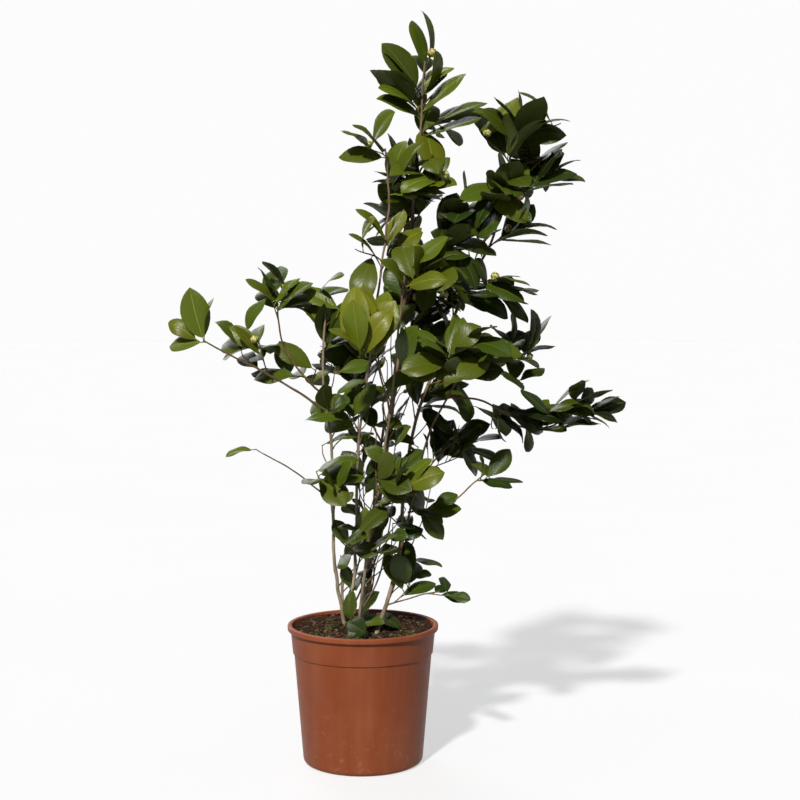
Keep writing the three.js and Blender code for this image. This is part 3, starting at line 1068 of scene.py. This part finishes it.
        for _ in range(max(1, round(mass.wanted / LEAVES_PER_SHOOT))):
            choices = [mass.spot_inside(rng, TIP_DEPTH, inner) for _ in range(TIP_CHOICES)]
            targets.append(max(choices, key=to_nearest))
            shoots.append(self.grow_shoot(targets[-1]))
            shades.append(self.shade_rule(sunny))
        self.grow_leaves(mass, shoots, shades)
        for shoot in shoots:
            if rng.random() < BUD_SHARE and shoot.points[-1].z > BUD_LEVEL:
                self.buds.append((shoot, rng.choice((1, 1, 2, 3))))

    def shade_rule(self, sunny):
        """The tones of one spray, with painted light and shade: lighter towards the sun and darker on the
        shaded right, close to each other and mostly of one tint.
        """
        rank = MIDDLE_SHADE - sunny + self.rng.gauss(0, SHADE_STRAY)
        usual_tint = self.tint_rng.randrange(len(TINTS))

        def tone():
            place = round(rank + self.rng.gauss(0, SHADE_STRAY))
            shade = min(len(SHADES) - 1, max(0, place))
            stray_tint = self.tint_rng.random() < 0.25
            tint = self.tint_rng.randrange(len(TINTS)) if stray_tint else usual_tint
            return shade * len(TINTS) + tint

        return tone

    def grow(self):
        for mass in self.masses:
            mass.neighbours = [
                other
                for other in self.masses
                if other is not mass and (other.centre - mass.centre).length < 170 * MM
            ]
        for mass in self.masses:
            self.deal(mass.name)
            self.grow_mass(mass)
        for name in STEMS:
            self.deal(name)
            self.grow_side_twigs(LIMBS[name])
        for name in LEAFY_FEET:
            self.deal(f"{name} foot")
            self.grow_low_sprig(LIMBS[name])

    def grow_side_twigs(self, limb):
        """Thin twigs with a few smaller leaves along the bare foot of a stem, the first a long whip."""
        rng = self.rng
        at = rng.uniform(*TWIG_SPACING)
        whip = limb.name not in PLAIN_STEMS
        while at < len(limb.points) * LIMB_SPACING:
            sample = int(at / LIMB_SPACING)
            start, tangent = Vector(limb.points[sample]), Vector(limb.tangents[sample])
            if start.z > TWIG_TOP:
                break
            tip, out = self.twig_tip(start, tangent, whip)
            arriving = (tip - start).normalized() * 0.7 + UP * 0.5
            leaving = (tangent + out * 0.7).normalized()
            foot_radius = 1.6 * MM if whip else 1.2 * MM
            shoot = Shoot(start, leaving, tip, arriving.normalized(), foot_radius, 0.7 * MM, TWIG_CROOK)
            if self.grow_sprig(shoot, rng.randint(2, 4) if whip else rng.choice((1, 1, 2))):
                self.shoots.append(shoot)
            at += rng.uniform(*TWIG_SPACING)
            whip = False

    def twig_tip(self, start, tangent, whip):
        """Where a side twig ends and which way it leaves its stem; a whip leans inward and less."""
        rng = self.rng
        first, second = across(tangent)
        inward = Vector((SPRIG_MIDDLE.x - start.x, SPRIG_MIDDLE.y - start.y, 0))
        for _ in range(TWIG_TRIES):
            out = swung(first, second, rng.uniform(0, FULL_TURN))
            if whip and out.dot(inward) < 0:
                out = -out
            lean = math.radians(rng.uniform(*(WHIP_LEAN if whip else TWIG_LEAN)))
            span = rng.uniform(*(WHIP_LENGTH if whip else TWIG_LENGTH))
            tip = start + swung(tangent, out, lean) * span
            if math.hypot(tip.x - SPRIG_MIDDLE.x, tip.y - SPRIG_MIDDLE.y) < TWIG_ROOM:
                break
        return tip, out

    def grow_low_sprig(self, limb):
        """A short twig with two leaves just above the compost, on the side that faces the camera."""
        start, tangent = Vector(limb.points[3]), Vector(limb.tangents[3])
        out = Vector((self.rng.uniform(-0.8, 0.8), -1, 0.5)).normalized()
        tip = start + out * 18 * MM
        shoot = Shoot(start, (tangent + out).normalized(), tip, out, 1.2 * MM, 0.8 * MM)
        # Painted shade: the leaves just above the compost get darker shades still.
        if self.grow_sprig(shoot, 2, -1.6):
            self.shoots.append(shoot)

    # Painted shade: unless told otherwise, a sprig low under the crown gets leaves a little darker than the
    # crown's middle.
    def grow_sprig(self, shoot, wanted, sunny=-0.6):
        """A few leaves near a twig's tip, wherever there is room. Returns how many."""
        rng = self.rng
        tone = self.shade_rule(sunny)
        turn = rng.uniform(0, FULL_TURN)
        grown = 0
        for number in range(wanted):
            point, tangent, _ = shoot.from_tip((1 + 16 * number) * MM) or (None, None, None)
            if point is None:
                break
            first, second = across(tangent)
            for attempt in range(TWIG_TRIES):
                angle = turn + number * GOLDEN_ANGLE + attempt * 0.8
                lean = math.radians(rng.uniform(25, 85))
                along = swung(tangent, swung(first, second, angle), lean)
                length = rng.uniform(*SPRIG_LEAF)
                normal = light_normal(point, along, rng)
                leaf = Leaf(point, along, normal, length, length * rng.uniform(*LEAF_SHARE), tone(), rng)
                away = leaf.probes()[-1] - SPRIG_MIDDLE
                lowest = min(spot.z for spot in leaf.probes())
                if math.hypot(away.x, away.y) > SPRIG_ROOM or lowest < SOIL_TOP + SOIL_CLEARANCE:
                    continue
                if self.gap_to_blades(leaf.probes()) > LEAF_CLEARANCE:
                    self.keep("sprigs", leaf)
                    grown += 1
                    break
        return grown


def make_twigs(crown):
    """All shoots as tubes, browner where the wood is high up and young."""
    pale = twig_bark("bark_twig", linear(118, 104, 70))
    brown = twig_bark("bark_twig_young", linear(74, 60, 36))
    twigs = Pieces()
    for seed, shoot in enumerate(crown.shoots):

        def relief(index, angle, seed=seed):
            return 1 + 0.14 * noise.noise(Vector((math.cos(angle), math.sin(angle), index * 0.6 + seed)))

        high = shoot.points[-1].z > TWIG_TOP
        twigs.add(*tube(shoot.points, shoot.radii, 7, relief), 1 if high else 0)
    finish_piece(twigs.build("twigs", [pale, brown]), "bough_bark")


def bud_shape(centre, axis, radius, turn, scale_slot):
    """A plump bud: an egg-shaped core with overlapping scales that have pale edges."""
    points, faces, slots = [], [], []
    first, second = across(axis)

    def at(polar, azimuth, swell):
        lift = -math.cos(polar) * (1.12 if polar > math.pi / 2 else 0.9)
        flat = swung(first, second, azimuth)
        return centre + (flat * math.sin(polar) + axis * lift) * radius * swell

    rings, sides = 6, 10
    for number in range(rings + 1):
        polar = math.pi * (0.02 + 0.96 * number / rings)
        points += [at(polar, angle, 0.93) for angle in around(sides)]
    faces += bands(rings + 1, sides)
    faces.append(tuple(reversed(range(sides))))
    faces.append(tuple(rings * sides + corner for corner in range(sides)))
    slots += [scale_slot] * len(faces)
    for scale in range(BUD_SCALES):
        azimuth = turn + scale * GOLDEN_ANGLE
        low = math.pi * (0.1 + 0.045 * scale)
        high = math.pi * (0.5 + 0.055 * scale)
        start = len(points)
        rows, wide = 5, 5
        for row in range(rows):
            share = row / (rows - 1)
            polar = low + (high - low) * share
            spread = 1.05 * math.sqrt(max(0.02, 1 - share**3))
            for column in range(wide):
                offset = spread * (column / (wide - 1) - 0.5) * 2
                swell = 1.0 + 0.05 * (1 - scale / BUD_SCALES) + 0.03 * share - 0.05 * abs(offset) ** 2
                points.append(at(polar, azimuth + offset, swell))
        faces += bands(rows, wide, start, closed=False)
        slots += [scale_slot] * (rows - 2) * (wide - 1) + [BUD_EDGE_SLOT] * (wide - 1)
    return points, faces, slots


def make_buds(crown):
    """Buds at the shoots' tips, leaning out of the crown and to the sun, in ones, twos and threes."""
    rng = random.Random(BUD_SEED)
    buds = Pieces()
    for shoot, count in crown.buds:
        tip, tangent, _ = shoot.from_tip(0.5 * MM)
        outward = tangent * 0.8 + (tip - CROWN_MIDDLE).normalized() * 0.7 + SUN_FROM * 0.7
        first, second = across(outward.normalized())
        for index in range(count):
            turn = rng.uniform(0, FULL_TURN)
            radius = rng.uniform(*BUD_RADIUS) * (1 if index == 0 else 0.8)
            spread = 0.15 if count == 1 else 0.8
            bearing = turn + index * 2.2
            axis = outward + swung(first, second, bearing) * spread
            axis.normalize()
            scale_slot = 0 if rng.random() < GREEN_BUDS else 1
            buds.add(*bud_shape(tip + axis * radius * 0.95, axis, radius, turn, scale_slot))
    materials = [
        bud_scale("bud_green", linear(134, 140, 52)),
        bud_scale("bud_gold", linear(176, 160, 76)),
        bud_scale("bud_edge", linear(226, 216, 150)),
    ]
    finish_piece(buds.build("flower_buds", materials), "foliage")


def tier_of(name):
    """The part of the crown that a mass belongs to: its first word."""
    return name.split("_")[1]


def make_leaves(crown):
    """One piece for each part of the crown, in place of that part's masses."""
    for tier, leaves in crown.leaves.items():
        pieces = Pieces()
        for leaf in leaves:
            pieces.add(*leaf_shape(leaf))
        piece = pieces.build(f"foliage_{tier}", LEAF_MATERIALS)
        finish_piece(piece, "foliage", *[name for name in MASSES if tier_of(name) == tier])


# ---------------------------------------------------------------- pot, compost and stump

BASE_RADIUS = 95 * MM
LIP_HEIGHT = 8 * MM
BAND_DEPTH = 45 * MM
BAND_TOP_RADIUS = 115 * MM
BAND_BOTTOM_RADIUS = 111.5 * MM
BAND_STEP = 2 * MM
WALL = 2 * MM
FOOT_ROUNDING = 8 * MM
POT_SIDES = 160
DRAIN_HOLES = 6
DRAIN_RADIUS = 6 * MM
DRAIN_RING_RADIUS = 62 * MM
HEAP_BACK = 10 * MM  # how much higher the compost lies behind the stems
HEAP_SIDE = 4 * MM
HEAP_FROM, HEAP_TO = -35 * MM, 70 * MM
SOIL_BELOW_RIM = 2.5 * MM
SOIL_GAP = 0.5 * MM  # between the compost and the pot's wall
MOSS_PATCHES = [  # (x, y, radius)
    (-72 * MM, -30 * MM, 26 * MM),
    (-45 * MM, 20 * MM, 20 * MM),
    (70 * MM, -35 * MM, 22 * MM),
    (40 * MM, 10 * MM, 24 * MM),
    (-10 * MM, -50 * MM, 24 * MM),
    (10 * MM, 70 * MM, 24 * MM),
]
SOIL_FLOOR_INSET = 11 * MM


def rounded(profile, steps=4):
    """A profile of (radius, height, rounding) with each corner rounded off by its own distance."""
    smooth = []
    for index, (radius, height, rounding) in enumerate(profile):
        here = np.array([radius, height])
        if not rounding or index in (0, len(profile) - 1):
            smooth.append(here)
            continue
        before = np.array(profile[index - 1][:2]) - here
        after = np.array(profile[index + 1][:2]) - here
        start = here + before / np.linalg.norm(before) * rounding
        end = here + after / np.linalg.norm(after) * rounding
        for step in range(steps + 1):
            t = step / steps
            smooth.append(start * (1 - t) ** 2 + here * 2 * t * (1 - t) + end * t * t)
    return smooth


def wall_radius(height):
    band_bottom = RIM_TOP - BAND_DEPTH
    slope = (BAND_BOTTOM_RADIUS - BAND_STEP - BASE_RADIUS) / band_bottom
    return BASE_RADIUS + slope * height


def turned(name, profile, sides, material):
    """A surface of revolution from a profile of (radius, height) that starts and ends on the axis."""
    points = [corner for radius, height in profile for corner in ring(radius, height, sides)]
    made = single(name, points, bands(len(profile), sides), material, math.radians(40))
    bm = bmesh.new()
    bm.from_mesh(made.data)
    bmesh.ops.remove_doubles(bm, verts=bm.verts, dist=1e-6)
    bmesh.ops.recalc_face_normals(bm, faces=bm.faces)
    bm.to_mesh(made.data)
    bm.free()
    return made


def drill(pot):
    """Cut the ring of drain holes through the pot's floor."""
    cutters = Pieces()
    sides = 24
    for hole in range(DRAIN_HOLES):
        bearing = 2 * math.pi * hole / DRAIN_HOLES
        centre = Vector((math.cos(bearing), math.sin(bearing), 0)) * DRAIN_RING_RADIUS
        line = [centre - UP * 5 * MM, centre + UP * 5 * MM]
        cutters.add(*tube(line, [DRAIN_RADIUS, DRAIN_RADIUS], sides), 0)
    cutter = cutters.build("drain_cutter", [])
    cut = pot.modifiers.new("drain", "BOOLEAN")
    cut.operation = "DIFFERENCE"
    cut.solver = "EXACT"
    cut.object = cutter
    bpy.context.view_layer.objects.active = pot
    bpy.ops.object.modifier_apply(modifier=cut.name)
    bpy.data.objects.remove(cutter)


def make_pot():
    band_bottom = RIM_TOP - BAND_DEPTH
    lip_bottom = RIM_TOP - LIP_HEIGHT
    foot = wall_radius(0)
    profile = rounded([
        (0, 0, 0),
        (foot, 0, FOOT_ROUNDING),
        (BAND_BOTTOM_RADIUS - BAND_STEP, band_bottom, 0.8 * MM),
        (BAND_BOTTOM_RADIUS, band_bottom + 0.6 * MM, 0.6 * MM),
        (BAND_TOP_RADIUS, lip_bottom, 0.8 * MM),
        (RIM_RADIUS - 0.2 * MM, lip_bottom, 1.4 * MM),
        (RIM_RADIUS, RIM_TOP, 1.8 * MM),
        (BAND_TOP_RADIUS - WALL, RIM_TOP, 1.5 * MM),
        (BAND_BOTTOM_RADIUS - BAND_STEP - WALL, band_bottom, 1 * MM),
        (wall_radius(FOOT_ROUNDING) - WALL, FOOT_ROUNDING, 1 * MM),
        (wall_radius(FOOT_ROUNDING) - FOOT_ROUNDING, WALL, 1 * MM),
        (0, WALL, 0),
    ])
    pot = turned("nursery_pot", profile, POT_SIDES, terracotta_plastic())
    drill(pot)
    finish_piece(pot, "pot", "pot")


def soil_height(x, y):
    """Height of the compost's surface: heaped up to the rim behind and low round the stump, with grit."""
    spot = Vector((x, y, 0))
    back = min(1, max(0, (y - HEAP_FROM) / (HEAP_TO - HEAP_FROM)))
    heap = HEAP_BACK * back * back * (3 - 2 * back) + HEAP_SIDE * (x / SOIL_RADIUS) ** 2
    lumps = 3.2 * MM * noise.noise(spot * 38) + 1.8 * MM * noise.noise(spot * 95)
    grit = 0.9 * MM * noise.noise(spot * 310)
    return min(RIM_TOP - SOIL_BELOW_RIM, SOIL_TOP - 1 * MM + heap + lumps + grit)


def inner_radius(height):
    """Inner radius of the pot's band at a height."""
    low = BAND_BOTTOM_RADIUS - BAND_STEP - WALL
    high = BAND_TOP_RADIUS - WALL
    return low + (high - low) * (height - RIM_TOP + BAND_DEPTH) / BAND_DEPTH


def soil_edge(angle):
    """How far out the compost reaches: just short of the pot's wall at the surface's height there."""
    edge = SOIL_RADIUS
    for _ in range(3):
        height = soil_height(edge * math.cos(angle), edge * math.sin(angle))
        edge = inner_radius(height) - SOIL_GAP
    return edge


def make_compost():
    """The compost as one solid: a fan and rings on top, a wall down to a smaller ring, and a flat floor."""
    rings, sides = 44, 150
    angles = around(sides)
    edges = [soil_edge(angle) for angle in angles]
    points = [(0, 0, soil_height(0, 0))]
    for number in range(1, rings + 1):
        for angle, edge in zip(angles, edges):
            reach = edge * number / rings
            x, y = reach * math.cos(angle), reach * math.sin(angle)
            points.append((x, y, soil_height(x, y)))
    bottom = len(points)
    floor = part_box("root_ball")[0].z
    points += ring(BASE_RADIUS - SOIL_FLOOR_INSET, floor, sides)
    faces = [(0, 1 + side, 1 + (side + 1) % sides) for side in range(sides)]
    faces += bands(rings + 1, sides, start=1, flipped=True)
    faces.append(tuple(bottom + side for side in reversed(range(sides))))
    finish_piece(single("compost", points, faces, compost()), "compost", "root_ball")


def lump(rng, size, roughness, detail):
    """A small uneven solid of the given size, about the origin."""
    bm = bmesh.new()
    bmesh.ops.create_icosphere(bm, subdivisions=detail, radius=0.5)
    offset = Vector([rng.uniform(-50, 50) for _ in range(3)])
    points = []
    for vertex in bm.verts:
        swell = 1 + roughness * noise.noise(vertex.co * 2.5 + offset)
        points.append(Vector([vertex.co[axis] * swell * size[axis] for axis in range(3)]))
    faces = [tuple(vertex.index for vertex in face.verts) for face in bm.faces]
    bm.free()
    return points, faces


def scatter(name, count, seed, sizes, roughness, materials, tilt, patches=None, detail=1):
    """Small lumps strewn over the compost, or over round patches (x, y, radius) of it, as one piece."""
    rng = random.Random(seed)
    pieces = Pieces()
    for _ in range(count):
        size = [rng.uniform(*bounds) for bounds in sizes]
        middle_x, middle_y, reach = rng.choice(patches) if patches else (0, 0, SOIL_RADIUS - 9 * MM)
        away, bearing = reach * math.sqrt(rng.random()), rng.uniform(0, FULL_TURN)
        x, y = middle_x + away * math.cos(bearing), middle_y + away * math.sin(bearing)
        if math.hypot(x, y) > SOIL_RADIUS - 8 * MM:
            continue
        points, faces = lump(rng, size, roughness, detail)
        turn = (
            Matrix.Rotation(rng.uniform(0, FULL_TURN), 3, "Z")
            @ Matrix.Rotation(rng.uniform(-tilt, tilt), 3, "X")
            @ Matrix.Rotation(rng.uniform(-tilt, tilt), 3, "Y")
        )
        base = Vector((x, y, soil_height(x, y) + size[2] * 0.15))
        pieces.add([turn @ point + base for point in points], faces, rng.randrange(len(materials)))
    finish_piece(pieces.build(name, materials), "compost")


def make_soil_cover():
    colours = {
        "brown": (66, 44, 29),
        "tan": (86, 60, 42),
        "dark": (44, 31, 21),
        "red": (84, 50, 34),
        "grey": (88, 77, 63),
        "pale": (112, 98, 80),
    }
    chips = [crumb(f"chip_{name}", linear(*colour), 420, 0.6 * MM) for name, colour in colours.items()]
    chip_size = ((3 * MM, 12 * MM), (2 * MM, 6 * MM), (1.2 * MM, 3.5 * MM))
    scatter("bark_chips", 760, CHIP_SEED, chip_size, 0.9, chips, 0.5)
    moss_size = ((3 * MM, 9 * MM), (3 * MM, 8 * MM), (2 * MM, 5 * MM))
    tufts = [
        crumb("moss_dark", linear(52, 50, 27), 700, 1.5 * MM),
        crumb("moss_light", linear(78, 75, 42), 700, 1.5 * MM),
    ]
    scatter("moss_tufts", 230, MOSS_SEED, moss_size, 1.1, tufts, 0.3, MOSS_PATCHES, 2)


def make_stump():
    """The old cut stem: a low, uneven, slightly oval drum with growth rings on top."""
    low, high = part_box("stump")
    centre, half = (low + high) / 2, (high - low) / 2
    rings, sides = 14, 48
    points = []
    profile = rounded([
        (0.0, low.z - 3 * MM, 0),
        (half.x, low.z - 3 * MM, 1 * MM),
        (half.x - 1 * MM, high.z, 1.6 * MM),
        (0.0, high.z - 1 * MM, 0),
    ], 5)
    inner = [np.array([half.x * (1 - k / rings) * 0.86, high.z - 0.2 * MM]) for k in range(1, rings)]
    profile = profile[:-1] + inner + [np.array([0.0, high.z - 0.8 * MM])]
    squash = half.y / half.x
    for radius, height in profile:
        for angle in around(sides):
            spot = Vector((math.cos(angle), math.sin(angle), 0))
            uneven = 1 + 0.06 * noise.noise(spot * 1.6)
            ripple = 0.15 * MM * math.sin(radius / (1.1 * MM)) * (height > high.z - 2 * MM)
            rough = 0.35 * MM * noise.noise(Vector((spot.x * radius, spot.y * radius, height)) * 260)
            x = centre.x + spot.x * radius * uneven
            y = centre.y + spot.y * radius * uneven * squash
            points.append((x, y, min(high.z, height + ripple + rough)))
    stump = single("old_stump", points, bands(len(profile), sides), stump_wood())
    finish_piece(stump, "stump", "stump")


# ---------------------------------------------------------------- stage


def studio_dome(radius, sides=64, rings=24):
    """A ball round the studio, seen only by the camera, as white as the lit floor."""
    points = []
    for number in range(rings + 1):
        polar = math.pi * (0.001 + 0.998 * number / rings)
        points += ring(radius * math.sin(polar), radius * math.cos(polar), sides)
    white = Surface("studio_white", roughness=1)
    white.shader.inputs["Base Color"].default_value = (0, 0, 0, 1)
    white.shader.inputs["Emission Color"].default_value = (1, 1, 1, 1)
    white.shader.inputs["Emission Strength"].default_value = STUDIO_WHITE
    dome = single("dome", points, bands(rings + 1, sides, flipped=True), white.material)
    dome.visible_diffuse = False
    dome.visible_glossy = False
    dome.visible_transmission = False
    dome.visible_shadow = False


def sun(name, direction, energy, angle, colour):
    light = bpy.data.lights.new(name, "SUN")
    light.energy = energy
    light.angle = angle
    light.color = colour
    linked(name, light).rotation_euler = direction.to_track_quat("Z", "Y").to_euler()


def make_stage():
    floor_surface = Surface("floor", roughness=1, specular=0.0)
    stops = [(0.4, (0.394, 0.404, 0.427, 1)), (0.6, (0.4, 0.41, 0.433, 1))]
    floor_surface.colour(floor_surface.ramp(floor_surface.noise(1.5, 2), stops))
    floor_surface.shader.inputs["Emission Color"].default_value = (1, 1, 1, 1)
    floor_surface.shader.inputs["Emission Strength"].default_value = FLOOR_GLOW
    bpy.ops.mesh.primitive_circle_add(vertices=96, radius=35, fill_type="NGON")
    floor = bpy.context.object
    floor.name = "floor"
    floor.data.materials.append(floor_surface.material)
    floor.visible_diffuse = False
    studio_dome(36)

    world = bpy.data.worlds.new("studio")
    bpy.context.scene.world = world
    world.use_nodes = True
    background = world.node_tree.nodes["Background"]
    background.inputs["Color"].default_value = (1.0, 0.98, 0.95, 1)
    background.inputs["Strength"].default_value = SKY_STRENGTH

    sun("key", SUN_FROM, SUN_ENERGY, math.radians(4), (1.0, 0.97, 0.9))
    sun("fill", FILL_FROM, FILL_ENERGY, math.radians(40), (0.95, 0.97, 1.0))


def make_camera():
    data = bpy.data.cameras.new("camera")
    data.lens = CAMERA_LENS
    data.sensor_width = 36
    camera = linked("camera", data)
    camera.location = CAMERA_PLACE
    camera.rotation_euler = (math.pi / 2 - CAMERA_PITCH, 0, 0)
    bpy.context.scene.camera = camera


# ---------------------------------------------------------------- assembly

make_camera()
make_stage()
make_pot()
make_compost()
make_soil_cover()
make_stump()
make_bark()
CROWN = Foliage(SEED)
CROWN.grow()
make_twigs(CROWN)
make_leaves(CROWN)
make_buds(CROWN)

bpy.context.scene.view_settings.view_transform = "Standard"

LEAF_COUNT = sum(map(len, CROWN.leaves.values()))
print("shoots", len(CROWN.shoots), "leaves", LEAF_COUNT, "buds", sum(count for _, count in CROWN.buds))
